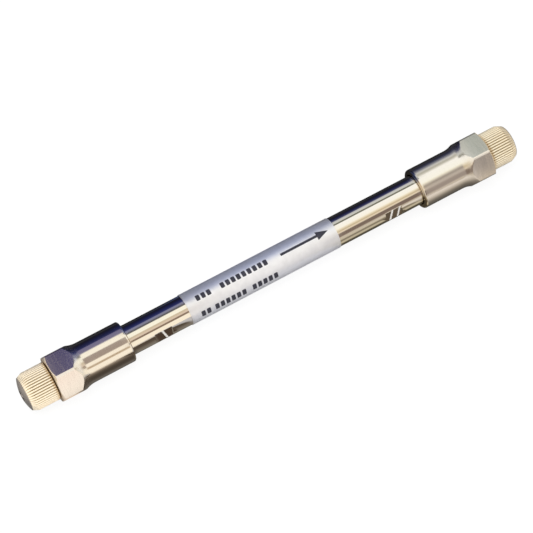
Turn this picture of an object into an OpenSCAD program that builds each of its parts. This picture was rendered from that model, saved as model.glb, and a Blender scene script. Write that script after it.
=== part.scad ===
// Analytical liquid chromatography column.
// A steel tube is packed with fine silica and closed at each end by a screwed end fitting
// that holds a frit. A knurled plug closes the port in the end fitting.
// The axis of the column is X, with the middle of the tube at the origin. +Z is up.

/* [Column tube] */
// Length of the tube, which is the length of the packed bed
tube_length = 150; // [100:1:250]
// Outside diameter of the tube
tube_od = 10.6; // [10.2:0.1:12.8]
// Bore that holds the packing
bore_d = 2.1; // [1:0.1:3.2]
// Radial step from the tube down to the thread on each end
thread_step = 0.3; // [0.2:0.05:0.5]
// Length of the thread on each end of the tube
tube_thread_length = 12; // [8:0.5:14]
// Chamfer on the first turn of each tube thread
thread_chamfer = 0.4; // [0.2:0.1:0.6]

/* [Wrench flats] */
// Length of each milled flat along the tube
flat_length = 6.5; // [5:0.1:9]
// Depth of each flat below the surface of the tube
flat_depth = 0.42; // [0.2:0.02:0.6]
// Distance from the rim of the end fitting to the flat
flat_gap = 8.35; // [4:0.05:12]
// Angle that the flats are turned above the horizontal
flat_turn = 8; // [-30:1:30]

/* [Label] */
// Length of the wrapped label along the tube
label_length = 57; // [30:1:60]
// Thickness of the label film
label_thickness = 0.18; // [0.08:0.02:0.3]
// Distance from the middle of the tube to the middle of the label
label_shift = -5.4; // [-8:0.1:8]
// Layer of adhesive under the film
glue_layer = 0.02; // [0.01:0.01:0.05]
// Gap between the two ends of the film, where the wrap meets at the back
label_seam = 0.8; // [0.4:0.1:2]

/* [End fitting] */
// Length of the end fitting from its rim to its outer face
fitting_length = 27.5; // [25:0.1:33.5]
// Outside diameter of the sleeve
sleeve_od = 14.4; // [13.2:0.1:15]
// Rounding of the outer edge of the rim
rim_round = 0.7; // [0.3:0.1:1]
// Width across the flats of the hexagon
hex_af = 15.875; // [15.5:0.025:17]
// Turned diameter that blunts the corners of the hexagon
hex_corner_d = 18; // [17.4:0.1:18.3]
// Length of the hexagon along its corners
hex_length = 7; // [5.5:0.1:8.5]
// Radius of the hollow flare between the sleeve and the hexagon
flare_radius = 8.5; // [4:0.1:12]
// Diameter of the outer face inside its chamfer
hex_face_d = 16.6; // [15:0.1:17]
// Angle of the chamfer on the outer face
hex_chamfer_angle = 30; // [15:1:45]
// Radial gap between the tube and the mouth of the sleeve
mouth_gap = 0.35; // [0.2:0.05:0.5]
// Thickness of the end wall that holds the port
end_wall = 7.1; // [6.9:0.1:12]
// Room past each end of the tube thread
thread_relief = 0.5; // [0.3:0.1:1]

/* [Frit] */
// Diameter of the sintered frit
frit_d = 4; // [3.4:0.1:5]
// Thickness of the frit and its ring
frit_thickness = 1.4; // [1:0.1:2.5]
// Wall of the sealing ring around the frit
ring_wall = 2.2; // [1.5:0.1:2.4]
// Radial gap between the sealing ring and its seat
ring_gap = 0.15; // [0.05:0.05:0.3]

/* [Port] */
// Diameter of the port thread
port_d = 4.83; // [4:0.01:6]
// Depth of the port thread
port_depth = 3.8; // [3.4:0.1:4.2]
// Countersink at the mouth of the port
port_countersink = 0.3; // [0.1:0.05:0.5]
// Diameter of the sealing cone where it meets the thread
cone_d = 3.4; // [2.8:0.1:3.8]
// Angle of the sealing cone from the axis
cone_angle = 20; // [18:1:25]
// Diameter of the pilot hole past the cone
pilot_d = 1.7; // [1.65:0.01:2]
// Depth of the pilot hole
pilot_depth = 0.5; // [0.3:0.1:0.9]
// Diameter of the hole that carries the liquid to the frit
capillary_d = 0.5; // [0.2:0.05:1]

/* [Plug] */
// Diameter of the knurled head
plug_od = 13.5; // [11:0.1:14]
// Length of the knurl
knurl_length = 7.7; // [5:0.1:12]
// Number of ribs round the head
knurl_count = 45; // [30:1:60]
// Depth of the grooves between the ribs
knurl_depth = 0.32; // [0.2:0.02:0.45]
// Share of each rib that is flat at its crest
crest_share = 0.42; // [0.2:0.01:0.6]
// Share of each rib that is flat at the root of the groove
root_share = 0.12; // [0.05:0.01:0.3]
// Chamfer at the inner end of the knurl
knurl_lead = 0.25; // [0.1:0.05:0.5]
// Length of the cone between the knurl and the domed face
shoulder_length = 2.1; // [0.5:0.1:3]
// Radial depth of that cone
shoulder_depth = 0.95; // [0.4:0.05:1.5]
// Radius of the domed outer face
dome_radius = 15; // [12:0.5:40]
// Gap between the head and the end fitting when the plug is tight
head_gap = 0.3; // [0.1:0.05:1]
// Length of the rod's ferrule behind its cone, up to the threaded shank
ferrule_collar = 0.1; // [0.05:0.05:0.4]
// Diameter of the recess in the outer face
recess_d = 4; // [3:0.1:6]
// Depth of the recess
recess_depth = 2.4; // [1:0.1:4]
// Diameter of the sealing rod in the plug
rod_d = 1.5875; // [1:0.0125:1.6]
// Height that the rod stands above the floor of the recess
rod_stand = 2.1; // [0.2:0.1:2.3]

/* [Fits] */
// Radial clearance of the threads, the sealing cone and the rod
fit_clearance = 0.05; // [0.02:0.01:0.1]
// Radial clearance of the packing in its bore
packing_clearance = 0.01; // [0.01:0.01:0.05]

/* [Hidden] */
$fn = 96;
// Cutters reach this far past what they cut
over = 1;

// Stations along the axis, from the middle of the tube towards either end
tube_end = tube_length / 2;
shoulder_x = tube_end - tube_thread_length;
seat_x = tube_end + frit_thickness;
face_x = seat_x + end_wall;
rim_x = face_x - fitting_length;
flat_x = rim_x - flat_gap;

// Radii of the tube, its thread and the bores that take them
tube_r = tube_od / 2;
thread_r = tube_r - thread_step;
mouth_r = tube_r + mouth_gap;
ring_r = frit_d / 2 + ring_wall;
ring_seat_r = ring_r + ring_gap;

// The turned outline of the end fitting
sleeve_r = sleeve_od / 2;
corner_r = hex_corner_d / 2;
hex_face_r = hex_face_d / 2;
corner_x = face_x - hex_length;
flare_x = corner_x - sqrt(pow(flare_radius, 2) - pow(flare_radius - (corner_r - sleeve_r), 2));
hex_chamfer_x = face_x - (corner_r - hex_face_r) * tan(hex_chamfer_angle);

// The coned port, from the outer face inwards
port_r = port_d / 2;
cone_r = cone_d / 2;
pilot_r = pilot_d / 2;
cone_x = face_x - port_depth;
pilot_x = cone_x - (cone_r - pilot_r) / tan(cone_angle);
capillary_x = pilot_x - pilot_depth;

// The plug, from its head inwards
head_x = face_x + head_gap;
plug_r = plug_od / 2;
dome_edge_r = plug_r - shoulder_depth;
dome_rise = dome_radius - sqrt(pow(dome_radius, 2) - pow(dome_edge_r, 2));
head_length = knurl_length + shoulder_length + dome_rise;
recess_floor_x = head_x + head_length - recess_depth;
rod_hole_r = rod_d / 2 + fit_clearance;
ferrule_r = cone_r - fit_clearance;
ferrule_tip_r = rod_d / 2;
ferrule_shift = 2 * fit_clearance / tan(cone_angle);
ferrule_tip_x = pilot_x - (pilot_r - ferrule_tip_r) / tan(cone_angle) + ferrule_shift;
ferrule_back_x = ferrule_tip_x + (ferrule_r - ferrule_tip_r) / tan(cone_angle);
shank_end_x = ferrule_back_x + ferrule_collar;

// A cylinder along the axis of the column, from one station to another
module shaft(r, from, to) {
    translate([from, 0, 0]) rotate([0, 90, 0]) cylinder(r = r, h = to - from);
}

// A cone along the axis, with its radius at each of its two stations
module taper(r_from, r_to, from, to) {
    translate([from, 0, 0]) rotate([0, 90, 0]) cylinder(r1 = r_from, r2 = r_to, h = to - from);
}

// Turns a profile of radius and station about the axis of the column
module turned() {
    rotate([0, 90, 0]) rotate_extrude() children();
}

// The inlet end is the outlet end, mirrored
module inlet_end() {
    mirror([1, 0, 0]) children();
}

// --- Column tube ---

module wrench_flats() {
    for (side = [0, 180])
        rotate([side - flat_turn, 0, 0])
            translate([flat_x - flat_length, -tube_od, -tube_od / 2])
                cube([flat_length, tube_od / 2 + flat_depth, tube_od]);
}

module column_tube() {
    color("silver")
    difference() {
        union() {
            shaft(tube_r, -shoulder_x, shoulder_x);
            for (end = [0, 1])
                mirror([end, 0, 0]) {
                    shaft(thread_r, 0, tube_end - thread_chamfer);
                    taper(thread_r, thread_r - thread_chamfer, tube_end - thread_chamfer, tube_end);
                }
        }
        shaft(bore_d / 2, -tube_end - over, tube_end + over);
        wrench_flats();
        inlet_end() wrench_flats();
    }
}

module packed_bed() {
    color("whitesmoke")
    shaft(bore_d / 2 - packing_clearance, -tube_end, tube_end);
}

// The film is wrapped once round the tube, and its ends meet at the back, below the flats
module label() {
    inner_r = tube_r + glue_layer;
    outer_r = inner_r + label_thickness;
    color("gainsboro")
    translate([label_shift - label_length / 2, 0, 0])
        difference() {
            shaft(outer_r, 0, label_length);
            shaft(inner_r, -over, label_length + over);
            rotate([-flat_turn, 0, 0])
                translate([-over, 0, -outer_r - over])
                    cube([label_length + 2 * over, label_seam, outer_r + over]);
        }
}

// --- Frit and its sealing ring ---

module frit() {
    color("dimgray") shaft(frit_d / 2, tube_end, seat_x);
}

module frit_ring() {
    color("tan")
    difference() {
        shaft(ring_r, tube_end, seat_x);
        shaft(frit_d / 2, tube_end - over, seat_x + over);
    }
}

// --- End fitting ---

// Square corner outside a quarter round, cut from the outer edge of the rim
module rim_corner() {
    translate([sleeve_r - rim_round, rim_x - over])
        difference() {
            square([rim_round + over, rim_round + over]);
            translate([0, rim_round + over]) circle(rim_round);
        }
}

module fitting_outline() {
    difference() {
        translate([0, rim_x]) square([sleeve_r, fitting_length]);
        rim_corner();
    }
    difference() {
        translate([0, flare_x]) square([corner_r, face_x - flare_x]);
        translate([sleeve_r + flare_radius, flare_x]) circle(flare_radius);
        polygon([
            [corner_r, hex_chamfer_x],
            [hex_face_r, face_x],
            [hex_face_r, face_x + over],
            [corner_r + over, face_x + over],
            [corner_r + over, hex_chamfer_x]
        ]);
    }
}

// The tube, its thread and the ring with the frit go in from the rim
module tube_socket() {
    shaft(mouth_r, rim_x - over, shoulder_x + thread_relief);
    shaft(thread_r + fit_clearance, shoulder_x, tube_end + thread_relief);
    shaft(ring_seat_r, tube_end, seat_x);
}

// Threaded and coned port for a capillary, with its small hole to the frit
module port() {
    shaft(capillary_d / 2, seat_x - over, face_x);
    shaft(pilot_r, capillary_x, face_x);
    taper(pilot_r, cone_r, pilot_x, cone_x);
    shaft(port_r, cone_x, face_x + over);
    taper(port_r, port_r + port_countersink + over, face_x - port_countersink, face_x + over);
}

// The hexagon bar that the end fitting is turned from, resting on a flat
module hex_bar() {
    translate([rim_x - over, 0, 0])
        rotate([0, 90, 0])
            rotate([0, 0, 30])
                cylinder(r = hex_af / 2 / cos(30), h = fitting_length + 2 * over, $fn = 6);
}

module end_fitting() {
    color("lightgray")
    difference() {
        intersection() {
            turned() fitting_outline();
            hex_bar();
        }
        tube_socket();
        port();
    }
}

// --- Plug ---

// One turn of ribs, each with a flat crest and a narrow flat root
module knurl_section() {
    pitch = 360 / knurl_count;
    crest = pitch * crest_share / 2;
    root = pitch * root_share / 2;
    root_r = plug_r - knurl_depth;
    polygon([
        for (rib = [0 : knurl_count - 1])
            for (step = [[plug_r, -crest], [plug_r, crest], [root_r, pitch / 2 - root], [root_r, pitch / 2 + root]])
                step[0] * [cos(rib * pitch + step[1]), sin(rib * pitch + step[1])]
    ]);
}

module head_outline() {
    intersection() {
        polygon([
            [0, 0],
            [plug_r - knurl_lead, 0],
            [plug_r, knurl_lead],
            [plug_r, knurl_length],
            [dome_edge_r, knurl_length + shoulder_length],
            [dome_edge_r, head_length],
            [0, head_length]
        ]);
        translate([0, head_length - dome_radius]) circle(dome_radius, $fn = 360);
    }
}

module plug() {
    color("khaki")
    difference() {
        union() {
            translate([head_x, 0, 0])
                intersection() {
                    turned() head_outline();
                    rotate([0, 90, 0]) linear_extrude(head_length) knurl_section();
                }
            shaft(port_r - fit_clearance, shank_end_x, head_x + knurl_length / 2);
        }
        shaft(rod_hole_r, shank_end_x - over, head_x + head_length);
        shaft(recess_d / 2, recess_floor_x, head_x + head_length + over);
    }
}

// The rod seals the port with the ferrule on its inner end
module plug_rod() {
    color("gray")
    union() {
        shaft(rod_d / 2, ferrule_tip_x, recess_floor_x + rod_stand);
        taper(ferrule_tip_r, ferrule_r, ferrule_tip_x, ferrule_back_x);
        shaft(ferrule_r, ferrule_back_x, shank_end_x);
    }
}

module inlet_frit() { inlet_end() frit(); }
module inlet_frit_ring() { inlet_end() frit_ring(); }
module inlet_end_fitting() { inlet_end() end_fitting(); }
module inlet_plug_rod() { inlet_end() plug_rod(); }
module inlet_plug() { inlet_end() plug(); }
module outlet_frit() { frit(); }
module outlet_frit_ring() { frit_ring(); }
module outlet_end_fitting() { end_fitting(); }
module outlet_plug_rod() { plug_rod(); }
module outlet_plug() { plug(); }

column_tube();
packed_bed();
label();
inlet_frit();
inlet_frit_ring();
inlet_end_fitting();
inlet_plug_rod();
inlet_plug();
outlet_frit();
outlet_frit_ring();
outlet_end_fitting();
outlet_plug_rod();
outlet_plug();
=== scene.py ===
import math

import bpy
from mathutils import Matrix, Vector


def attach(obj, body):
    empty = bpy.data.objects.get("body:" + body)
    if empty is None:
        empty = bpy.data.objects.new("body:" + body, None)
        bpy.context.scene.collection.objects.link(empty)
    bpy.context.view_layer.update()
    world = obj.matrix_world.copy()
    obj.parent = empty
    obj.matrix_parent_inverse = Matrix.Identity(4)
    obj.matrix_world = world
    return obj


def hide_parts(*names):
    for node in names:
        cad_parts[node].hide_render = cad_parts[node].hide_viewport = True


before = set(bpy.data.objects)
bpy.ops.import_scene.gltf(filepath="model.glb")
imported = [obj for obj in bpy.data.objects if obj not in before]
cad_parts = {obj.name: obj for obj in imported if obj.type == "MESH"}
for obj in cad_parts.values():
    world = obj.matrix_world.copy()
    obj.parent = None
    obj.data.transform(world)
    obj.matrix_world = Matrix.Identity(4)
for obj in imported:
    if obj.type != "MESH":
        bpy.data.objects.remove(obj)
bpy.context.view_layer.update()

# --- Column tube ---
# The body of the column is a drawn stainless tube, polished bright outside and reamed inside. Each end is
# threaded for its end fitting, and two shallow flats are milled near each end, where a wrench holds the
# tube while the fitting is tightened. The cutter leaves narrow bright lands across the flats.
mm = 0.001
tube_r = 5.3 * mm
bore_r = 1.05 * mm
tube_end = 75 * mm
bore_chamfer = 0.12 * mm
thread_start, thread_end = 63 * mm, 74.6 * mm
thread_r = 5 * mm
thread_depth = 0.58 * mm
thread_pitch = 1 * mm
thread_nose_r = 4.6 * mm
thread_rings = 117
root_share, crest_share = 0.25, 0.125
shoulder_chamfer = 0.15 * mm
flat_start, flat_end = 41.15 * mm, 47.65 * mm
flat_distance = 4.88 * mm
flat_wall = 0.25 * mm
flat_turn = math.radians(8)
ring_step = 0.1 * mm
merge_distance = 0.0005 * mm
tube_steps, tube_crease = 144, 14


def turned(name, outline, steps, sweep=math.tau):
    """Draws an outline of (station, radius) points beside the column's axis and turns it about the axis."""
    bpy.ops.object.select_all(action="DESELECT")
    bpy.ops.mesh.primitive_plane_add(size=mm, location=(outline[0][0], outline[0][1], 0))
    piece = bpy.context.object
    piece.name = piece.data.name = name
    bpy.ops.object.transform_apply(location=True, rotation=True, scale=True)
    bpy.ops.object.mode_set(mode="EDIT")
    bpy.ops.mesh.select_mode(type="VERT")
    bpy.ops.mesh.select_all(action="SELECT")
    bpy.ops.mesh.merge(type="CENTER")
    for (x_from, r_from), (x_to, r_to) in zip(outline, outline[1:]):
        step = (x_to - x_from, r_to - r_from, 0)
        bpy.ops.mesh.extrude_region_move(TRANSFORM_OT_translate={"value": step})
    bpy.ops.mesh.select_all(action="SELECT")
    bpy.ops.mesh.spin(steps=steps, angle=sweep, center=(0, 0, 0), axis=(-1, 0, 0))
    bpy.ops.mesh.select_all(action="SELECT")
    bpy.ops.mesh.remove_doubles(threshold=merge_distance)
    bpy.ops.mesh.normals_make_consistent(inside=False)
    bpy.ops.object.mode_set(mode="OBJECT")
    return piece


def arc(x, r, radius, from_degrees, to_degrees, count):
    """Points of an arc in an outline, with its angle measured from +X towards a greater radius."""
    sweep = to_degrees - from_degrees
    turns = [math.radians(from_degrees + sweep * i / count) for i in range(count + 1)]
    return [(x + radius * math.cos(t), r + radius * math.sin(t)) for t in turns]


def smooth(piece, degrees):
    """Shades a piece smooth, apart from the edges that turn by more than this."""
    bpy.ops.object.select_all(action="DESELECT")
    piece.select_set(True)
    bpy.context.view_layer.objects.active = piece
    bpy.ops.object.shade_smooth_by_angle(angle=math.radians(degrees))


def cut_thread(piece, start, end, crest_r, depth, pitch):
    """Cuts a right-hand thread into the rings of a shank, running out over half a turn at both ends."""
    for vertex in piece.data.vertices:
        x, y, z = vertex.co
        along = abs(x)
        if not start < along < end or abs(math.hypot(y, z) - crest_r) > ring_step / 2:
            continue
        phase = (x / pitch - math.atan2(z, y) / math.tau) % 1
        off_root = abs(2 * phase - 1)
        groove = min(max((1 - crest_share - off_root) / (1 - crest_share - root_share), 0), 1)
        runout = min((along - start) / (pitch / 2), (end - along) / (pitch / 2), 1)
        scale = 1 - depth * groove * runout / crest_r
        vertex.co = (x, y * scale, z * scale)


end_outline = [
    (flat_start, tube_r),
    (flat_start + flat_wall, tube_r),
    (flat_end - flat_wall, tube_r),
    (flat_end, tube_r),
    (thread_start - shoulder_chamfer, tube_r),
    (thread_start, tube_r - shoulder_chamfer),
    *[(thread_start + i * ring_step, thread_r) for i in range(thread_rings)],
    (tube_end, thread_nose_r),
    (tube_end, bore_r + bore_chamfer),
    (tube_end - bore_chamfer, bore_r),
]
tube_outline = [(-x, r) for x, r in reversed(end_outline)] + end_outline
column_tube = turned("steel_tube", tube_outline + tube_outline[:1], tube_steps)
cut_thread(column_tube, thread_start, thread_end, thread_r, thread_depth, thread_pitch)
flat_normal = Vector((0, -math.cos(flat_turn), math.sin(flat_turn)))
for vertex in column_tube.data.vertices:
    for side in (flat_normal, -flat_normal):
        proud = vertex.co.dot(side) - flat_distance
        if flat_start < abs(vertex.co.x) - flat_wall / 2 < flat_end - flat_wall and proud > 0:
            vertex.co -= proud * side
smooth(column_tube, tube_crease)


class Value:
    """A number that varies over a surface. Arithmetic on it adds Math nodes."""

    def __init__(self, tree, socket):
        self.tree, self.socket = tree, socket

    def math(self, operation, *others, clamp=False):
        """Adds a Math node that takes this value first."""
        made = self.tree.nodes.new("ShaderNodeMath")
        made.operation, made.use_clamp = operation, clamp
        for socket, term in zip(made.inputs, (self, *others)):
            if isinstance(term, Value):
                self.tree.links.new(term.socket, socket)
            else:
                socket.default_value = term
        return Value(self.tree, made.outputs[0])

    def between(self, low, high):
        """0 at low and below, 1 at high and above."""
        return (self - low).math("DIVIDE", high - low, clamp=True)

    def __add__(self, other):
        return self.math("ADD", other)

    def __sub__(self, other):
        return self.math("SUBTRACT", other)

    def __rsub__(self, other):
        return self.math("MULTIPLY", -1).math("ADD", other)

    def __mul__(self, other):
        return self.math("MULTIPLY", other)

    def __abs__(self):
        return self.math("ABSOLUTE")

    __radd__, __rmul__ = __add__, __mul__


class Finish:
    """A material whose colour, roughness and relief come from nodes."""

    def __init__(self, name, **constants):
        self.material = bpy.data.materials.new(name)
        self.material.use_nodes = True
        self.tree = self.material.node_tree
        self.shader = self.tree.nodes["Principled BSDF"]
        for socket, value in constants.items():
            self.shader.inputs[socket.replace("_", " ")].default_value = value
        self.place = self.node("TexCoord", output="Object")

    def node(self, kind, settings=None, sockets=None, output=0):
        """Adds a node: its settings are set first, and then the values or links of its sockets."""
        made = self.tree.nodes.new("ShaderNode" + kind)
        for key, value in (settings or {}).items():
            if key == "stops":
                while len(made.color_ramp.elements) < len(value):
                    made.color_ramp.elements.new(1)
                for element, (position, colour) in zip(made.color_ramp.elements, value):
                    element.position, element.color = position, (*colour, 1)
            else:
                setattr(made, key, value)
        for key, value in (sockets or {}).items():
            if isinstance(value, Value):
                self.tree.links.new(value.socket, made.inputs[key])
            else:
                made.inputs[key].default_value = value
        return Value(self.tree, made.outputs[output])

    def noise(self, scale, detail=3, roughness=0.6):
        """Noise that is finer along the directions with a greater scale, in grains to the metre."""
        stretched = self.node("Mapping", {"vector_type": "POINT"}, {"Vector": self.place, "Scale": scale})
        return self.node("TexNoise", sockets={
            "Vector": stretched, "Scale": 1, "Detail": detail, "Roughness": roughness})

    def blend(self, factor, first, second):
        """One colour, or another where the factor is 1. Sockets 6 and 7 of the node take the colours."""
        return self.node("Mix", {"data_type": "RGBA"}, {0: factor, 6: first, 7: second}, output=2)

    def axis(self, name):
        """The place along X, Y or Z."""
        return self.node("SeparateXYZ", sockets={0: self.place}, output=name)

    def radius(self):
        """Distance from the axis of the column."""
        y, z = self.axis("Y"), self.axis("Z")
        return (y * y + z * z).math("SQRT")

    def feed(self, **links):
        """Links values to sockets of the shader."""
        for socket, value in links.items():
            self.tree.links.new(value.socket, self.shader.inputs[socket.replace("_", " ")])

    def relief(self, height, depth):
        """Feeds the normal with a height of 0 to 1 that stands this deep."""
        self.feed(Normal=self.node("Bump", sockets={"Strength": 1, "Distance": depth, "Height": height}))

    def surface(self, shader):
        """Shows this shader in place of the principled one."""
        self.tree.links.new(shader.socket, self.tree.nodes["Material Output"].inputs["Surface"])

    def coat(self, piece):
        """Gives a piece this material and no other."""
        piece.data.materials.clear()
        piece.data.materials.append(self.material)


polished = Finish("polished_tube_steel")
lines = polished.noise((2600, 70, 70), detail=4)
drawn = polished.noise((25, 900, 900), detail=2)
handled = polished.noise((90, 160, 160), detail=4, roughness=0.7)
station, height = polished.axis("X"), polished.axis("Z")
pocket_edge, land_edge = 0.05 * mm, 0.1 * mm
below_surface = 1 - polished.radius().between(tube_r - 0.02 * mm, tube_r - 0.005 * mm)
in_pocket = (abs(station).between(flat_start, flat_start + pocket_edge)
             * (1 - abs(station).between(flat_end - pocket_edge, flat_end)) * below_surface)
land_half_widths = {-43.9 * mm: 0.36 * mm, 43.2 * mm: 0.4 * mm, 46.1 * mm: 0.36 * mm}
land_lean = 0.3
land = 0
for land_x, half_width in land_half_widths.items():
    off_land = abs(station - height * math.copysign(land_lean, land_x) - land_x)
    land = (1 - off_land.between(half_width - land_edge, half_width + land_edge)) * in_pocket + land
bright = polished.blend(lines * 0.45 + handled * 0.35, (0.80, 0.755, 0.69, 1), (0.87, 0.835, 0.775, 1))
polished.feed(
    Base_Color=polished.blend(land, bright, (0.80, 0.77, 0.72, 1)),
    Metallic=1 - land * 0.9,
    Roughness=0.055 + lines * 0.05 + handled.between(0.52, 0.75) * 0.05 + in_pocket * 0.07,
)
polished.relief(lines * 0.6 + drawn * 0.4, 0.0012 * mm)
polished.coat(column_tube)
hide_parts("column_tube")
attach(column_tube, "column")

# --- Packed bed ---
# The bore holds fine porous silica, packed from a slurry at high pressure, which does the separating. It
# is a white powder that can't be seen once the column is closed.
bed = Finish("packed_silica")
grains = bed.noise((30000, 30000, 30000), detail=5)
clumps = bed.noise((2500, 2500, 2500), detail=3)
bed.feed(
    Base_Color=bed.blend(grains * 0.6 + clumps * 0.4, (0.78, 0.77, 0.74, 1), (0.93, 0.93, 0.91, 1)),
    Roughness=0.85 + grains * 0.15,
)
bed.relief(grains, 0.01 * mm)
bed.coat(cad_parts["packed_bed"])

# --- Frits and their rings ---
# A disc of sintered steel closes each end of the bore, so that the liquid passes and the silica stays. It
# is pressed into a ring of hard natural polymer, which seals against the end of the tube.
sintered = Finish("sintered_steel", Metallic=1.0)
cells = sintered.node("TexVoronoi", {"feature": "F1"}, {"Vector": sintered.place, "Scale": 14000})
pores = cells.between(0.0, 0.6)
sintered.feed(
    Base_Color=sintered.blend(pores, (0.20, 0.19, 0.18, 1), (0.48, 0.46, 0.43, 1)),
    Roughness=0.75 - pores * 0.3,
)
sintered.relief(pores, 0.02 * mm)
polymer = Finish("ring_polymer")
mottle = polymer.noise((1200, 1200, 1200), detail=4)
tool_marks = polymer.noise((9000, 200, 200), detail=2)
polymer.feed(
    Base_Color=polymer.blend(mottle, (0.50, 0.38, 0.24, 1), (0.62, 0.50, 0.34, 1)),
    Roughness=0.38 + tool_marks * 0.2,
)
polymer.relief(tool_marks, 0.004 * mm)
for end in ("inlet", "outlet"):
    sintered.coat(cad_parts[end + "_frit"])
    polymer.coat(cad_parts[end + "_frit_ring"])

# --- End fittings ---
# Each end fitting is turned in one piece from hexagon bar. Its sleeve is bored and threaded for the tube
# and polished outside, a hollow flare leads up to the hexagon, and the outer end has the port. The flats
# keep the dull grain of the milling cutter, and turning has blunted the corners between them.
rim_x, face_x, seat_x = 56 * mm, 83.5 * mm, 76.4 * mm
sleeve_r, corner_r, face_r = 7.2 * mm, 8.999 * mm, 8.05 * mm
rim_round = 0.7 * mm
mouth_r, mouth_chamfer = 5.65 * mm, 0.12 * mm
mouth_end, socket_r, socket_end = 63.5 * mm, 5.05 * mm, 75.5 * mm
ring_seat_r = 4.35 * mm
corner_start, flare_radius = 76.5 * mm, 8.5 * mm
flare_sweep = math.acos((flare_radius - corner_r + sleeve_r) / flare_radius)
flare_start = corner_start - flare_radius * math.sin(flare_sweep)
face_chamfer = 0.55 * mm
port_r, port_chamfer = 2.415 * mm, 0.3 * mm
cone_x, cone_r = 79.7 * mm, 1.7 * mm
pilot_x, pilot_end, pilot_r = 77.365 * mm, 76.865 * mm, 0.85 * mm
capillary_r = 0.25 * mm
hexagon_flat = 7.9375 * mm
flat_border, flat_drop = 0.18 * mm, 0.055 * mm
first_flat, flat_to_flat = 30, 60
sliver, on_plane = 0.01 * mm, 0.002 * mm
fitting_steps, fitting_crease = 120, 13
fitting_outline = [
    (rim_x, mouth_r + mouth_chamfer),
    *arc(rim_x + rim_round, sleeve_r - rim_round, rim_round, 180, 90, 9),
    (rim_x + rim_round + ring_step, sleeve_r),
    (flare_start - ring_step, sleeve_r),
    *arc(flare_start, sleeve_r + flare_radius, flare_radius, -90, math.degrees(flare_sweep) - 90, 12),
    (face_x - face_chamfer, corner_r),
    (face_x, face_r),
    (face_x, port_r + port_chamfer),
    (face_x - port_chamfer, port_r),
    (cone_x, port_r),
    (cone_x, cone_r),
    (pilot_x, pilot_r),
    (pilot_end, pilot_r),
    (pilot_end, capillary_r),
    (seat_x, capillary_r),
    (seat_x, ring_seat_r),
    (socket_end, ring_seat_r),
    (socket_end, socket_r),
    (mouth_end, socket_r),
    (mouth_end, mouth_r),
    (rim_x + mouth_chamfer, mouth_r),
    (rim_x, mouth_r + mouth_chamfer),
]
outlet_fitting = turned("outlet_steel_fitting", fitting_outline, fitting_steps)
flat_turns = [math.radians(a) for a in range(first_flat, first_flat + 360, flat_to_flat)]
flat_normals = [Vector((0, math.cos(turn), math.sin(turn))) for turn in flat_turns]
bpy.ops.object.mode_set(mode="EDIT")
for normal in flat_normals:
    bpy.ops.mesh.select_all(action="SELECT")
    bpy.ops.mesh.bisect(plane_co=normal * hexagon_flat, plane_no=normal, threshold=merge_distance,
                        use_fill=True, clear_outer=True)
bpy.ops.mesh.select_all(action="SELECT")
bpy.ops.mesh.remove_doubles(threshold=sliver)
bpy.ops.mesh.select_all(action="DESELECT")
bpy.ops.object.mode_set(mode="OBJECT")


def flats_of(piece):
    """The faces of the hexagon's flats."""
    least_area, square_on = 10 * mm * mm, 0.9999
    return [face for face in piece.data.polygons
            if face.area > least_area and any(face.normal.dot(n) > square_on for n in flat_normals)]


for face in flats_of(outlet_fitting):
    face.select = True
bpy.ops.object.mode_set(mode="EDIT")
bpy.ops.mesh.select_mode(type="FACE")
bpy.ops.mesh.inset(thickness=flat_border, use_individual=True)
bpy.ops.object.mode_set(mode="OBJECT")
milled = outlet_fitting.data.attributes.new("milled", "FLOAT", "FACE")
inside_border = set()
for face in flats_of(outlet_fitting):
    milled.data[face.index].value = 1
    inside_border.update(face.vertices)
for vertex in outlet_fitting.data.vertices:
    for normal in flat_normals:
        if vertex.index not in inside_border and vertex.co.dot(normal) > hexagon_flat - on_plane:
            vertex.co -= flat_drop * normal
smooth(outlet_fitting, fitting_crease)


def other_end(piece, name):
    """A copy of an outlet piece, turned round to the inlet end, which keeps its threads right-handed."""
    bpy.ops.object.select_all(action="DESELECT")
    piece.select_set(True)
    bpy.context.view_layer.objects.active = piece
    bpy.ops.object.duplicate()
    copy = bpy.context.object
    copy.name = copy.data.name = name
    bpy.ops.transform.rotate(value=math.pi, orient_axis="Z", center_override=(0, 0, 0))
    bpy.ops.object.transform_apply(location=True, rotation=True, scale=True)
    return copy


turned_steel = Finish("turned_fitting_steel", Metallic=1.0)
on_flat = turned_steel.node("Attribute", {"attribute_name": "milled"}, output="Fac")
fine = turned_steel.noise((3800, 90, 90), detail=4)
coarse = turned_steel.noise((900, 60, 60), detail=3, roughness=0.5)
patches = turned_steel.noise((160, 220, 220), detail=3, roughness=0.5)
cutter = turned_steel.noise((2200, 260, 260), detail=5, roughness=0.7)
along = abs(turned_steel.axis("X"))
on_flare = along.between(flare_start + 0.6 * mm, flare_start + 2.6 * mm)
on_face = along.between(face_x - 0.03 * mm, face_x - 0.01 * mm)
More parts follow.
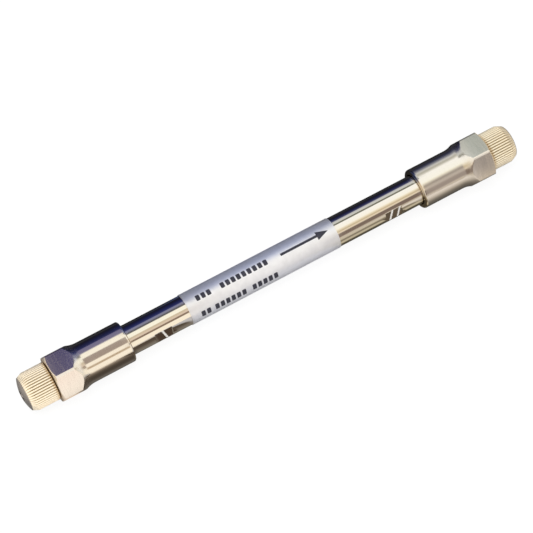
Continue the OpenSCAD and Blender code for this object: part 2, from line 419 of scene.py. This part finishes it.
# Painted glint: the rounded rim of the sleeve and the bore of its socket are tinted gold-brown, standing in
# for the glints in the gap round the tube.
rim_with_painted_glint = 1 - along.between(rim_x + 0.3 * mm, rim_x + 0.42 * mm)
socket_with_painted_glint = 1 - turned_steel.radius().between(5.7 * mm, 5.85 * mm)
bright = turned_steel.blend(fine * 0.5 + patches * 0.3, (0.79, 0.745, 0.68, 1), (0.87, 0.83, 0.77, 1))
milled_grain = cutter.between(0.3, 0.72) * 0.8 + patches * 0.2
dull = turned_steel.blend(milled_grain, (0.79, 0.77, 0.75, 1), (0.92, 0.90, 0.88, 1))
outside = turned_steel.blend(on_flat, bright, dull)
turned_steel.feed(
    Base_Color=turned_steel.blend(socket_with_painted_glint.math("MAXIMUM", rim_with_painted_glint * 0.8), outside, (0.62, 0.50, 0.34, 1)),
    Roughness=0.075 + fine * 0.05 + coarse.between(0.45, 0.75) * 0.04
    + on_flat * (0.04 + cutter * 0.06) + socket_with_painted_glint * 0.15 + on_flare * (1 - on_flat) * 0.14 + on_face * 0.25,
)
turned_steel.relief(fine * 0.4 + on_flat * cutter, 0.003 * mm)
turned_steel.coat(outlet_fitting)
inlet_fitting = other_end(outlet_fitting, "inlet_steel_fitting")
for end, fitting in (("outlet", outlet_fitting), ("inlet", inlet_fitting)):
    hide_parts(end + "_end_fitting")
    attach(fitting, end + "_fitting")

# --- Plugs ---
# A knurled plug closes each port, so that the packing doesn't dry out. Its head is rolled with 45 straight
# ribs, which run out over a coned shoulder, and plated a pale gold, but for the turned steel dome and the
# recess in it. Its shank is threaded for the port. Painted shade darkens the grooves between the ribs, the
# root of the head beside the hexagon, and the recess.
head_x, shank_end, knurl_end = 83.8 * mm, 79.9375 * mm, 91.5 * mm
shank_r, shank_nose_r, shank_nose = 2.365 * mm, 1.95 * mm, 0.35 * mm
shank_pitch, shank_depth = 0.79375 * mm, 0.44 * mm
shank_thread_end = 83.4 * mm
shank_ring_step, shank_rings = 0.08 * mm, 40
knurl_r, root_r, knurl_lead = 6.75 * mm, 6.3 * mm, 0.25 * mm
shoulder_end, dome_edge_r = 93.6 * mm, 5.8 * mm
shoulder_rings = [i / 12 for i in (0, 0.6, 1.4, 2.4, 3.6, 5, 6.6, 8.2, 9.6, 11.6)]
dome_x, dome_radius = 79.767 * mm, 15 * mm
dome_rings = [r * mm for r in (5.76, 5.6, 5.2, 4.8, 4.4, 4.0, 3.6, 3.2, 2.8, 2.5, 2.25, 2.12)]
recess_r, recess_floor = 2 * mm, 92.367 * mm
recess_round, recess_fillet = 0.12 * mm, 0.1 * mm
head_back_chamfer = (0.08 * mm, 0.15 * mm)
rod_hole_r = 0.84375 * mm
knurl_steps, knurl_crease = 360, 40
ribs = 45
groove_depths = (0, 0.02 * mm, 0.12 * mm, 0.34 * mm, 0.45 * mm)
groove_dip = 0.3
plug_outline = [
    (shank_end, rod_hole_r),
    (shank_end, shank_nose_r),
    (shank_end + shank_nose, shank_r),
    *[(shank_end + shank_nose + i * shank_ring_step, shank_r) for i in range(1, shank_rings + 1)],
    (head_x, shank_r),
    (head_x, root_r - head_back_chamfer[1]),
    (head_x + head_back_chamfer[0], root_r),
    (head_x + knurl_lead, knurl_r),
    (head_x + knurl_lead + ring_step, knurl_r),
    (knurl_end - ring_step, knurl_r),
    *[(knurl_end + (shoulder_end - knurl_end) * share, knurl_r + (dome_edge_r - knurl_r) * share)
      for share in shoulder_rings],
    *[(dome_x + math.sqrt(dome_radius ** 2 - r ** 2), r) for r in dome_rings],
    (dome_x + math.sqrt(dome_radius ** 2 - recess_r ** 2) - recess_round, recess_r),
    (recess_floor + recess_fillet, recess_r),
    (recess_floor, recess_r - recess_fillet),
    (recess_floor, rod_hole_r),
    (shank_end, rod_hole_r),
]
outlet_plug = turned("outlet_knurled_plug", plug_outline, knurl_steps)
cut_thread(outlet_plug, shank_end + shank_nose, shank_thread_end, shank_r, shank_depth, shank_pitch)
degrees_to_a_rib = knurl_steps // ribs
for vertex in outlet_plug.data.vertices:
    x, y, z = vertex.co
    off_crest = round(math.degrees(math.atan2(z, y))) % degrees_to_a_rib
    depth = groove_depths[min(off_crest, degrees_to_a_rib - off_crest)]
    groove_r = knurl_r - depth - max(abs(x) - knurl_end, 0) * groove_dip
    share = min(1, groove_r / math.hypot(y, z))
    vertex.co = (x, y * share, z * share)
smooth(outlet_plug, knurl_crease)

plated = Finish("plated_knurl_steel")
plug_radius = plated.radius()
along = abs(plated.axis("X"))
on_shoulder = along.between(knurl_end + 1.9 * mm, knurl_end + 2.05 * mm)
on_dome = along.between(shoulder_end - 0.25 * mm, shoulder_end - 0.05 * mm)
# Painted shade: the recess in the dome is coloured a near-black brown.
painted_recess_shade = on_dome * (1 - plug_radius.between(recess_r, recess_r + 0.08 * mm))
# Painted shadow: the gold is darkened towards brown over the first mm of the head, next to the hexagon.
painted_root_shadow = 1 - along.between(head_x + 0.2 * mm, head_x + 1.3 * mm)
coned_r = plug_radius + (along - knurl_end).math("MAXIMUM", 0) * 0.4
# Painted shade: the grooves between the ribs are darkened to a dark brown, and only the crests keep the pale
# gold.
crest_over_painted_groove_shade = coned_r.between(root_r + 0.06 * mm, root_r + 0.28 * mm)
grain = plated.noise((500, 900, 900), detail=4)
rolled = plated.noise((300, 2600, 2600), detail=3)
rings = plated.node(
    "TexNoise", {"noise_dimensions": "1D"}, {"W": plug_radius, "Scale": 5200, "Detail": 4})
gold = plated.blend(crest_over_painted_groove_shade, (0.36, 0.27, 0.14, 1), (0.97, 0.90, 0.74, 1))
gold = plated.blend(grain.between(0.35, 0.75) * 0.2, gold, (0.90, 0.80, 0.60, 1))
gold = plated.blend(painted_root_shadow * 0.7, gold, (0.45, 0.28, 0.09, 1))
steel = plated.blend(rings.between(0.3, 0.7), (0.20, 0.19, 0.18, 1), (0.56, 0.54, 0.52, 1))
steel = plated.blend(painted_recess_shade, steel, (0.10, 0.065, 0.04, 1))
head = plated.blend(on_shoulder, gold, (0.86, 0.82, 0.74, 1))
plated.feed(
    Base_Color=plated.blend(on_dome, head, steel),
    Metallic=0.65 + on_shoulder * 0.3,
    Roughness=0.27 + rolled * 0.08 - on_shoulder * 0.08 + on_dome * rings * 0.1,
)
plated.relief(rolled * (1 - on_shoulder) * 0.25 + rings * on_dome, 0.005 * mm)
plated.coat(outlet_plug)
inlet_plug = other_end(outlet_plug, "inlet_knurled_plug")
for end, plug in (("outlet", outlet_plug), ("inlet", inlet_plug)):
    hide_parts(end + "_plug")
    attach(plug, end + "_plug_head")

# --- Sealing rods ---
# A short steel rod runs through each plug and carries the cone that seals the port. It slides with the
# plug but doesn't turn in it, and its bright rounded end stands almost level with the dome.
rod_r, rod_end, rod_round = 0.79375 * mm, 94.6 * mm, 0.2 * mm
tip_x, tip_chamfer = 77.485 * mm, 0.1 * mm
ferrule_back, ferrule_r, ferrule_edge = 79.8375 * mm, 1.65 * mm, 0.09 * mm
crown, crown_ring, crown_ring_r = 0.04 * mm, 0.01 * mm, 0.39375 * mm
rod_outline = [
    (tip_x, 0),
    (tip_x, rod_r - tip_chamfer),
    (tip_x + tip_chamfer, rod_r),
    (ferrule_back, ferrule_r - 0.01 * mm),
    (ferrule_back + 0.05 * mm, ferrule_r - 0.02 * mm),
    (ferrule_back + ferrule_edge, ferrule_r - 0.08 * mm),
    (ferrule_back + ferrule_edge, rod_r),
    *[(ferrule_back + (rod_end - rod_round - ferrule_back) * i / 4, rod_r) for i in range(1, 4)],
    *arc(rod_end - rod_round - crown, rod_r - rod_round, rod_round, 90, 0, 6),
    (rod_end - crown_ring, crown_ring_r),
    (rod_end, 0),
]
rod_steps, rod_crease = 72, 20
outlet_rod = turned("outlet_sealing_rod", rod_outline, rod_steps)
smooth(outlet_rod, rod_crease)
wire = Finish("drawn_rod_steel", Metallic=1.0)
draw_lines = wire.noise((200, 9000, 9000), detail=3)
blemish = wire.noise((1500, 1500, 1500), detail=4)
wire.feed(
    Base_Color=wire.blend(blemish, (0.66, 0.63, 0.58, 1), (0.86, 0.84, 0.80, 1)),
    Roughness=0.14 + draw_lines * 0.14,
)
wire.relief(draw_lines, 0.002 * mm)
wire.coat(outlet_rod)
inlet_rod = other_end(outlet_rod, "inlet_sealing_rod")
for end, rod in (("outlet", outlet_rod), ("inlet", inlet_rod)):
    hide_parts(end + "_plug_rod")
    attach(rod, end + "_rod")

# --- Label ---
# The label is a satin silver film, wrapped once round the tube and stuck down, off centre towards the
# inlet. Its two ends all but meet in a seam underneath.
label_from, label_to = -33.9 * mm, 23.1 * mm
film_inner_r, film_r, film_edge = 5.32 * mm, 5.5 * mm, 0.04 * mm
seam_from, seam_sweep = math.radians(270.5), math.radians(351.5)
film_outline = [
    (label_from, film_inner_r),
    (label_from, film_r - film_edge),
    (label_from + film_edge, film_r),
    *[(label_from + (label_to - label_from) * i / 12, film_r) for i in range(1, 12)],
    (label_to - film_edge, film_r),
    (label_to, film_r - film_edge),
    (label_to, film_inner_r),
    (label_from, film_inner_r),
]
film_steps, film_crease = 180, 25
label_film = turned("label_film", film_outline, film_steps, seam_sweep)
label_film.rotation_euler.x = seam_from
bpy.ops.object.transform_apply(location=True, rotation=True, scale=True)
bpy.ops.object.mode_set(mode="EDIT")
bpy.ops.mesh.select_mode(type="EDGE")
bpy.ops.mesh.select_all(action="SELECT")
bpy.ops.mesh.fill_holes(sides=0)
bpy.ops.mesh.normals_make_consistent(inside=False)
bpy.ops.object.mode_set(mode="OBJECT")
smooth(label_film, film_crease)
film = Finish("satin_label_film", Metallic=0.75, Coat_Weight=0.1, Coat_Roughness=0.3)
pearl = film.noise((420, 420, 420), detail=5)
ripple = film.noise((60, 110, 110), detail=2)
on_edge = 1 - film.radius().between(film_r - film_edge, film_r - 0.01 * mm)
silver = film.blend(pearl.between(0.3, 0.7), (0.75, 0.755, 0.79, 1), (0.83, 0.835, 0.87, 1))
film.feed(
    Base_Color=film.blend(on_edge, silver, (0.85, 0.85, 0.86, 1)),
    Roughness=0.33 + pearl * 0.1,
)
film.relief(pearl * 0.3 + ripple, 0.01 * mm)
film.coat(label_film)
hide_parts("label")
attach(label_film, "column")

# --- Print on the label ---
# The ink is printed on the film before it is wrapped. An arrow shows the direction of flow, and two rows of
# plain blocks stand where words would be. They are drawn flat, with their height along Y, then wrapped.
print_r, ink_thickness = 5.503 * mm, 0.012 * mm
facing = math.radians(60)
upper_row = {"at": 1.75 * mm, "height": 2.0 * mm, "words": {-30.3 * mm: 3, -21.0 * mm: 3, -14.9 * mm: 6}}
lower_row = {"at": -4.2 * mm, "height": 2.3 * mm, "words": {-30.6 * mm: 2, -25.4 * mm: 6, -11.2 * mm: 5}}
block_width, block_pitch = 1.45 * mm, 2.05 * mm
block_round = 0.3 * mm
wrap_step, wrap_cuts = 0.3 * mm, range(-24, 16)
bpy.ops.object.select_all(action="DESELECT")
bpy.ops.mesh.primitive_plane_add(size=mm)
label_print = bpy.context.object
label_print.name = label_print.data.name = "label_print"
bpy.ops.object.mode_set(mode="EDIT")
bpy.ops.mesh.delete(type="VERT")
for row in (upper_row, lower_row):
    for word_x, blocks in row["words"].items():
        for i in range(blocks):
            middle = (word_x + (i + 0.5) * block_pitch, row["at"], 0)
            bpy.ops.mesh.primitive_plane_add(size=block_width, location=middle)
            bpy.ops.transform.resize(value=(1, row["height"] / block_width, 1), center_override=middle)
            bpy.ops.mesh.bevel(offset=block_round, offset_type="OFFSET", segments=3, affect="VERTICES")
arrow_from, arrow_to, arrow_at = 2.2 * mm, 20.6 * mm, 1.6 * mm
shaft_height, head_length, head_height = 0.9 * mm, 4.4 * mm, 3.1 * mm
shaft_to = arrow_to - head_length
shaft_middle = ((arrow_from + shaft_to) / 2, arrow_at, 0)
head_middle = (shaft_to + head_length / 3, arrow_at, 0)
bpy.ops.mesh.primitive_plane_add(size=mm, location=shaft_middle)
bpy.ops.transform.resize(
    value=((shaft_to - arrow_from) / mm, shaft_height / mm, 1), center_override=shaft_middle)
bpy.ops.mesh.primitive_circle_add(
    vertices=3, radius=mm, fill_type="NGON", location=head_middle, rotation=(0, 0, -math.pi / 2))
bpy.ops.transform.resize(
    value=(head_length / (1.5 * mm), head_height / (math.sqrt(3) * mm), 1), center_override=head_middle)
for i in wrap_cuts:
    bpy.ops.mesh.select_all(action="SELECT")
    bpy.ops.mesh.bisect(plane_co=(0, i * wrap_step, 0), plane_no=(0, 1, 0), threshold=merge_distance)
bpy.ops.mesh.select_all(action="SELECT")
bpy.ops.mesh.normals_make_consistent(inside=False)
bpy.ops.object.mode_set(mode="OBJECT")
for vertex in label_print.data.vertices:
    x, height, _ = vertex.co
    turn = facing + height / print_r
    vertex.co = (x, -print_r * math.cos(turn), print_r * math.sin(turn))
bpy.ops.object.mode_set(mode="EDIT")
bpy.ops.mesh.select_all(action="SELECT")
bpy.ops.mesh.normals_make_consistent(inside=False)
bpy.ops.object.mode_set(mode="OBJECT")
bpy.ops.object.modifier_add(type="SOLIDIFY")
label_print.modifiers["Solidify"].thickness = ink_thickness
label_print.modifiers["Solidify"].offset = 1
bpy.ops.object.modifier_apply(modifier="Solidify")
print_crease = 20
smooth(label_print, print_crease)
ink = Finish("printed_ink")
dots = ink.noise((5200, 5200, 5200), detail=3)
starved = ink.noise((700, 700, 700), detail=3)
thin = dots.between(0.35, 0.8) * 0.6 + starved.between(0.5, 0.8) * 0.4
ink.feed(
    Base_Color=ink.blend(thin, (0.012, 0.012, 0.022, 1), (0.045, 0.045, 0.07, 1)),
    Roughness=0.34 + dots * 0.2,
)
ink.relief(dots, 0.002 * mm)
ink.coat(label_print)
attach(label_print, "column")

# --- Floor and light ---
# The column lies on the flats of its hexagons on a pale table. In polished metal the table shows painted
# reflections, bands it glows with, set zone by zone under each part. A glowing tent stands over it, which
# only polished metal shows: its colours are painted reflections, set zone by zone over each part. Soft
# lamps over the tent light everything else.
floor_z = -hexagon_flat
floor_size = 4
near_edge, far_edge = -120, 80
floor_whiteness, white_strength = 0.84, 1.05
tent_radius, tent_half = 0.06, 0.9
tent_steps, tent_crease, tent_strength = 96, 30, 1.15


def srgb(red, green, blue):
    """A colour as the eye sees it, from 0 to 255, in the light values that nodes take."""
    shares = [c / 255 for c in (red, green, blue)]
    return tuple(c / 12.92 if c <= 10 / 255 else ((c + 0.055) / 1.055) ** 2.4 for c in shares)


def bands(finish, measure, low, high, stops):
    """Colours along a measure, each with its place and its red, green and blue as the eye sees them."""
    placed = [((place - low) / (high - low), srgb(*colour)) for place, *colour in stops]
    return finish.node("ValToRGB", {"stops": placed}, {"Fac": measure.between(low, high)})


def on_table(*stops):
    """Painted reflections on the table, which only glossy and transmission rays see, by the distance in mm
    behind the axis of the column.
    """
    return bands(table, across, near_edge, far_edge, stops)


def on_tent(*stops):
    """Painted reflections round the tent, by the angle in degrees from its near foot, over the top, to its
    far foot.
    """
    return bands(tent_reflection, degrees, 0, 180, stops)


def joined(finish, first, *others):
    """Areas side by side along the column, each after the first with the stations in mm where it fades in."""
    station = finish.axis("X")
    for start, end, area in others:
        first = finish.blend(station.between(start * mm, end * mm), first, area)
    return first


def seen_or_mirrored(tree):
    """Two values: 1 where a surface is seen directly, and 1 where it is seen in or through another."""
    rays = tree.nodes.new("ShaderNodeLightPath").outputs
    reflected, refracted = Value(tree, rays["Is Glossy Ray"]), Value(tree, rays["Is Transmission Ray"])
    return Value(tree, rays["Is Camera Ray"]), reflected.math("MAXIMUM", refracted)


bpy.ops.object.select_all(action="DESELECT")
bpy.ops.mesh.primitive_plane_add(size=floor_size, location=(0, 0, floor_z))
floor = bpy.context.object
floor.name = "floor"
bpy.ops.object.transform_apply(location=True, rotation=True, scale=True)
table = Finish("pale_table", Roughness=0.9, Base_Color=(0.86, 0.86, 0.86, 1))
seen, mirrored = seen_or_mirrored(table.tree)
# Painted reflections: for glossy and transmission rays the table glows with these bands, set zone by zone
# under each part of the column.
across = table.axis("Y") * (1 / mm)
shade_behind_left = ((0, 60, 58, 58), (5, 42, 42, 46), (60, 44, 44, 50), (80, 60, 60, 66))
shade_behind_right = ((5, 46, 46, 48), (60, 44, 44, 50), (80, 60, 60, 66))
shade_behind_hexagon = ((-5, 120, 110, 104), (2, 60, 56, 54), (80, 62, 62, 68))
beyond_left = on_table((-120, 245, 232, 220), (60, 245, 232, 220), (80, 120, 116, 116))
under_left_plug = on_table(
    (-120, 240, 228, 212), (-13, 240, 228, 212), (-10, 150, 146, 142), (20, 168, 164, 160),
    (80, 120, 116, 116))
under_left_hexagon = on_table((-120, 245, 226, 208), (-8, 245, 226, 208), *shade_behind_hexagon)
under_left_sleeve = on_table(
    (-120, 250, 238, 220), (-84, 250, 238, 220), (-70, 205, 190, 172), (-56, 170, 157, 143),
    (-31, 112, 100, 88), (-21, 84, 75, 67), (-15.6, 77, 69, 61), (-11.6, 88, 81, 74), (-9, 112, 106, 100),
    (-4, 100, 95, 90), *shade_behind_left)
under_left = on_table(
    (-120, 250, 238, 220), (-84, 250, 238, 220), (-74, 96, 84, 73), (-35, 88, 77, 67), (-19, 92, 82, 72),
    (-12, 120, 111, 101), (-7.4, 134, 128, 119), (-4, 118, 113, 104), *shade_behind_left)
under_left_pocket = on_table(
    (-120, 250, 238, 220), (-84, 250, 238, 220), (-74, 96, 84, 73), (-20, 88, 77, 67), (-17, 78, 64, 54),
    (-10.5, 78, 64, 54), (-8, 134, 128, 119), (-4, 118, 113, 104), *shade_behind_left)
under_label = on_table(
    (-120, 206, 205, 208), (-16, 206, 205, 208), (-9, 160, 160, 164), (0, 110, 112, 120), (10, 64, 72, 104),
    (40, 56, 66, 102), (80, 60, 68, 96))
under_right = on_table(
    (-120, 214, 204, 184), (-33, 214, 204, 184), (-28, 148, 138, 120), (-18, 148, 138, 120),
    (-15.3, 204, 194, 170), (-10.8, 204, 194, 170), (-9.2, 92, 86, 72), (-3, 80, 76, 66), *shade_behind_right)
under_right_pocket = on_table(
    (-120, 214, 204, 184), (-33, 214, 204, 184), (-28, 148, 138, 120), (-20, 148, 138, 120),
    (-17, 100, 88, 74), (-10.5, 100, 88, 74), (-9.2, 92, 86, 72), (-3, 80, 76, 66), *shade_behind_right)
under_right_sleeve = on_table(
    (-120, 214, 205, 194), (-68, 244, 236, 226), (-34, 232, 223, 212), (-22.5, 202, 193, 181),
    (-16.4, 158, 150, 139), (-12, 118, 112, 104), (-8.5, 98, 94, 88), (0, 60, 58, 58), *shade_behind_right)
under_right_hexagon = on_table((-120, 150, 142, 134), (-8, 160, 150, 138), *shade_behind_hexagon)
under_right_plug = on_table(
    (-120, 235, 216, 188), (-8, 235, 216, 188), (-4, 130, 112, 92), (4, 70, 62, 54), (80, 62, 62, 68))
table_reflection = joined(
    table, beyond_left,
    (-112, -100, under_left_plug),
    (-95, -91, under_left_hexagon),
    (-78, -75.5, under_left_sleeve),
    (-54, -53, under_left),
    (-45.2, -44.9, under_left_pocket),
    (-38.2, -37.9, under_left),
    (-33, -31, under_label),
    (24, 26, under_right),
    (43.6, 43.9, under_right_pocket),
    (51.6, 51.9, under_right),
    (58.5, 59.5, under_right_sleeve),
    (94, 97, under_right_hexagon),
    (105, 110, under_right_plug),
)
reflected = table.node("Emission", sockets={"Color": table_reflection, "Strength": 1})
white = table.node("Emission", sockets={"Color": (1, 1, 1, 1), "Strength": white_strength})
lit = Value(table.tree, table.shader.outputs["BSDF"])
direct = table.node("MixShader", sockets={0: seen * floor_whiteness, 1: lit, 2: white})
table.surface(table.node("MixShader", sockets={0: mirrored, 1: direct, 2: reflected}))
table.coat(floor)

tent_outline = [(-tent_half, tent_radius), (0, tent_radius), (tent_half, tent_radius)]
tent = turned("light_tent", tent_outline, tent_steps, math.pi)
smooth(tent, tent_crease)
# Painted reflections: the tent glows, seen only in polished metal, with bands set zone by zone over each part
# of the column.
tent_reflection = Finish("tent_painted_reflection")
degrees = 180 - tent_reflection.axis("Z").math("ARCTAN2", tent_reflection.axis("Y")) * (180 / math.pi)
over_left_plug = on_tent(
    (0, 255, 244, 228), (118, 255, 240, 222), (135, 190, 172, 150), (150, 110, 94, 78), (165, 60, 50, 42),
    (180, 40, 34, 30))
over_left_hexagon = on_tent(
    (0, 255, 244, 228), (5, 255, 240, 224), (8, 246, 222, 204), (14, 252, 242, 230), (45, 255, 252, 246),
    (86, 255, 250, 244), (97, 150, 140, 160), (105, 78, 73, 106), (150, 74, 70, 102), (165, 45, 45, 70),
    (180, 30, 30, 45))
over_left_sleeve = on_tent(
    (0, 255, 246, 230), (20, 255, 246, 230), (24, 188, 166, 140), (30, 188, 166, 140), (34, 255, 246, 230),
    (48.5, 255, 246, 230), (51.5, 164, 150, 140), (79, 166, 152, 143), (83, 255, 250, 236),
    (104, 255, 250, 236), (110, 124, 120, 150), (130, 118, 115, 148), (134, 44, 48, 92), (150, 28, 32, 66),
    (165, 25, 26, 42), (180, 32, 32, 38))
over_left_tube = on_tent(
    (0, 255, 246, 228), (31.5, 255, 246, 228), (34.5, 134, 114, 98), (43, 134, 114, 98), (47, 224, 207, 190),
    (65.5, 208, 192, 166), (69, 255, 253, 238), (92.5, 255, 253, 238), (95.5, 100, 100, 106),
    (106, 100, 100, 106), (109, 130, 132, 160), (121, 130, 132, 160), (125, 56, 62, 114), (135, 36, 42, 90),
    (150, 26, 30, 66), (165, 25, 26, 44), (180, 32, 32, 38))
over_label = on_tent(
    (0, 222, 217, 212), (45, 248, 243, 234), (88, 255, 250, 238), (105, 198, 204, 224), (125, 104, 120, 164),
    (150, 60, 74, 120), (180, 50, 60, 96))
over_right = on_tent(
    (0, 205, 194, 174), (3, 190, 178, 160), (8, 128, 112, 103), (31, 122, 107, 98), (35.5, 230, 216, 192),
    (42, 230, 216, 192), (45, 200, 182, 152), (51, 212, 197, 168), (60, 243, 233, 208), (68, 255, 253, 244),
    (97, 255, 255, 252), (100.5, 104, 104, 88), (107, 104, 104, 88), (112, 206, 208, 204),
    (127, 196, 198, 202), (133, 74, 78, 112), (145, 34, 38, 76), (160, 28, 29, 44), (180, 32, 32, 36))
over_right_sleeve = on_tent(
    (0, 212, 204, 194), (3, 196, 186, 175), (8, 168, 157, 148), (12, 158, 147, 139), (26, 160, 149, 141),
    (32, 180, 170, 161), (37, 192, 181, 172), (44, 184, 175, 166), (50.5, 158, 149, 141), (56, 178, 170, 160),
    (61, 212, 205, 192), (67, 246, 242, 224), (73, 255, 255, 246), (106, 255, 255, 252), (113, 225, 224, 215),
    (119, 190, 188, 178), (126, 184, 183, 174), (132, 206, 205, 201), (137, 190, 192, 194),
    (143, 146, 148, 156), (150, 110, 112, 126), (158, 66, 70, 92), (168, 44, 46, 62), (180, 40, 40, 48))
over_right_hexagon = on_tent(
    (0, 152, 143, 135), (10, 148, 139, 131), (20, 170, 162, 154), (45, 255, 253, 248), (78, 255, 253, 248),
    (92, 176, 180, 171), (112, 164, 169, 161), (125, 164, 169, 161), (150, 150, 155, 150), (165, 60, 62, 66),
    (180, 34, 34, 40))
over_right_plug = on_tent(
    (0, 238, 218, 190), (60, 255, 242, 218), (125, 244, 226, 198), (145, 190, 165, 140), (160, 110, 92, 76),
    (180, 50, 42, 36))
beyond_right = on_tent((0, 150, 130, 100), (90, 165, 146, 118), (180, 70, 60, 50))
glow = joined(
    tent_reflection, over_left_plug,
    (-82.5, -79.5, over_left_hexagon),
    (-68.5, -66.5, over_left_sleeve),
    (-48.4, -47.5, over_left_tube),
    (-22.5, -20, over_label),
    (36.5, 38.5, over_right),
    (73.3, 73.9, over_right_sleeve),
    (94.5, 96.5, over_right_hexagon),
    (106.2, 110, over_right_plug),
    (135, 160, beyond_right),
)
tent_reflection.surface(tent_reflection.node("Emission", sockets={"Color": glow, "Strength": tent_strength}))
tent_reflection.coat(tent)
for use in ("camera", "diffuse", "transmission", "volume_scatter", "shadow"):
    setattr(tent, "visible_" + use, False)


def lamp(name, place, size, watts):
    """A soft square lamp that faces the column."""
    made = bpy.data.lights.new(name, "AREA")
    made.size, made.energy = size, watts
    holder = bpy.data.objects.new(name, made)
    bpy.context.scene.collection.objects.link(holder)
    holder.location = place
    holder.rotation_euler = (-Vector(place)).to_track_quat("-Z", "Y").to_euler()
    holder.visible_glossy = False


lamp("overhead_lamp", place=(-0.15, -0.1, 0.9), size=0.8, watts=5)
lamp("front_lamp", place=(-0.5, -0.8, 0.6), size=0.6, watts=3)
world = bpy.data.worlds.new("studio")
bpy.context.scene.world = world
world.use_nodes = True
room_strength, backdrop_strength = 0.6, 1
backdrop = world.node_tree.nodes["Background"]
room = world.node_tree.nodes.new("ShaderNodeBackground")
for background, strength in ((room, room_strength), (backdrop, backdrop_strength)):
    background.inputs["Color"].default_value = (1, 1, 1, 1)
    background.inputs["Strength"].default_value = strength
seen, mirrored = seen_or_mirrored(world.node_tree)
either = world.node_tree.nodes.new("ShaderNodeMixShader")
world.node_tree.links.new(seen.math("MAXIMUM", mirrored).socket, either.inputs[0])
world.node_tree.links.new(room.outputs[0], either.inputs[1])
world.node_tree.links.new(backdrop.outputs[0], either.inputs[2])
world.node_tree.links.new(either.outputs[0], world.node_tree.nodes["World Output"].inputs["Surface"])

# --- Camera ---
# A long lens looks down on the column from the front and a little from the inlet end. Its place is given by
# its turn about the column, its tilt from level and its roll, and by how far off centre it looks.
turn, tilt, roll = math.radians(13.214), math.radians(60), math.radians(-6.045)
distance, aside, above = 0.664813, 0.00237, 0.00088
focal_length, sensor_width = 134.32, 36
nearest, farthest = 0.01, 20
back = Vector((-math.sin(turn), -math.cos(turn) * math.cos(tilt), math.cos(turn) * math.sin(tilt)))
level = (-back).cross(Vector((0, 0, 1))).normalized()
upright = level.cross(-back)
right = math.cos(roll) * level + math.sin(roll) * upright
up = math.cos(roll) * upright - math.sin(roll) * level
camera = bpy.data.objects.new("camera", bpy.data.cameras.new("camera"))
bpy.context.scene.collection.objects.link(camera)
bpy.context.scene.camera = camera
camera.data.lens, camera.data.sensor_width = focal_length, sensor_width
camera.data.clip_start, camera.data.clip_end = nearest, farthest
camera.matrix_world = Matrix((right, up, back)).transposed().to_4x4()
camera.location = distance * back - aside * right - above * up

bpy.context.scene.view_settings.view_transform = "Standard"
